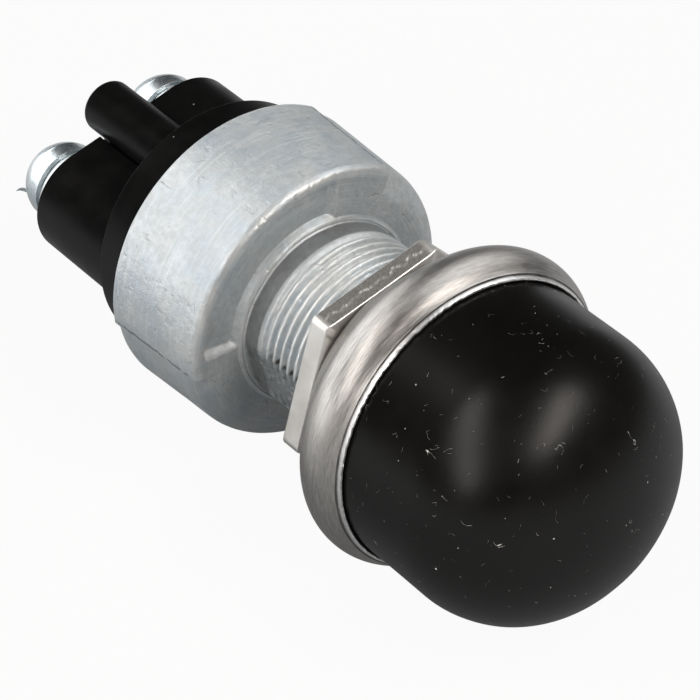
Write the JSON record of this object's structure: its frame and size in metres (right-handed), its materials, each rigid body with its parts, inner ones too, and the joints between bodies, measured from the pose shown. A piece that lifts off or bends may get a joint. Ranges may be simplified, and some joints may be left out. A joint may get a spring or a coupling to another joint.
{
  "type": "panel push button switch",
  "caption": "Sealed panel push button: black rubber dome in a metal ring and hexagon nut, threaded neck, round cast body, screw terminals at the rear.",
  "frame": {"origin": "on the axis, in the plane of the housing's front shoulder, where the panel sits", "axes": "+Z along the axis towards the rubber dome, +X through the two terminal screws"},
  "size_m": [0.0312, 0.0312, 0.0768],
  "materials": {
    "zinc_casting": "bare zinc die casting, mottled satin with a fine grain",
    "phenolic": "black moulded phenolic, satin",
    "seal_rubber": "black sealing rubber",
    "contact_brass": "bare turned brass",
    "spring_wire": "drawn spring wire",
    "plunger_plastic": "natural nylon",
    "button_plastic": "black moulded plastic",
    "plated_steel": "bright zinc plate",
    "fibre": "red-brown vulcanised fibre",
    "nickel_shell": "nickel plated, fine lines round the band",
    "boot_rubber": "satin black rubber",
    "nickel_nut": "warm nickel plate, one sheared flat",
    "screw_zinc": "bluish zinc plate"
  },
  "bodies": {
    "housing": {"housing": "zinc_casting", "terminal_base": "phenolic", "base_gasket": "seal_rubber", "fixed_contact_left": "contact_brass", "fixed_contact_right": "contact_brass", "return_spring": "spring_wire"},
    "plunger": {"plunger_stem": "plunger_plastic", "push_button": "button_plastic", "spring_seat": "plated_steel", "retaining_screw": "plated_steel", "contact_spring": "spring_wire"},
    "bridge": {"contact_bridge": "contact_brass", "upper_insulator": "fibre", "lower_insulator": "fibre"},
    "boot_unit": {"boot_ring": "nickel_shell", "rubber_boot": "boot_rubber", "clamp_ring": "plated_steel"},
    "nut": {"hex_nut": "nickel_nut"},
    "clamp_left": {"clamp_washer_left": "plated_steel", "lock_washer_left": "plated_steel"},
    "screw_left": {"terminal_screw_left": "screw_zinc"},
    "clamp_right": {"clamp_washer_right": "plated_steel", "lock_washer_right": "plated_steel"},
    "screw_right": {"terminal_screw_right": "screw_zinc"}
  },
  "joints": [
    {"name": "plunger_slide", "type": "slide", "parent": "housing", "child": "plunger", "axis": [0, 0, -1], "range_m": [0, 0.0035], "stiffness_N_per_m": 1500, "springref_m": -0.004, "deforming": ["return_spring", "contact_spring", "rubber_boot"]},
    {"name": "contact_slide", "type": "slide", "parent": "housing", "child": "bridge", "axis": [0, 0, -1], "range_m": [0, 0.0021]},
    {"name": "boot_unit_slide", "type": "slide", "parent": "housing", "child": "boot_unit", "axis": [0, 0, 1], "range_m": [-0.0035, 0.0035]},
    {"name": "nut_turn", "type": "hinge", "parent": "boot_unit", "child": "nut", "pos_m": [0, 0, 0], "axis": [0, 0, 1], "range_deg": [-1261, 1261]},
    {"name": "clamp_slide_left", "type": "slide", "parent": "housing", "child": "clamp_left", "axis": [0, 0, -1], "range_m": [0, 0.0021]},
    {"name": "screw_turn_left", "type": "hinge", "parent": "clamp_left", "child": "screw_left", "pos_m": [-0.0061, 0, 0], "axis": [0, 0, -1], "range_deg": [0, 1081]},
    {"name": "clamp_slide_right", "type": "slide", "parent": "housing", "child": "clamp_right", "axis": [0, 0, -1], "range_m": [0, 0.0021]},
    {"name": "screw_turn_right", "type": "hinge", "parent": "clamp_right", "child": "screw_right", "pos_m": [0.0061, 0, 0], "axis": [0, 0, -1], "range_deg": [0, 1081]}
  ],
  "couplings": [
    {"joint": "contact_slide", "follows": "plunger_slide", "ratio": 0.6},
    {"joint": "nut_turn", "follows": "boot_unit_slide", "rad_per_m": 6283.2},
    {"joint": "screw_turn_left", "follows": "clamp_slide_left", "rad_per_m": 8976},
    {"joint": "screw_turn_right", "follows": "clamp_slide_right", "rad_per_m": 8976}
  ]
}
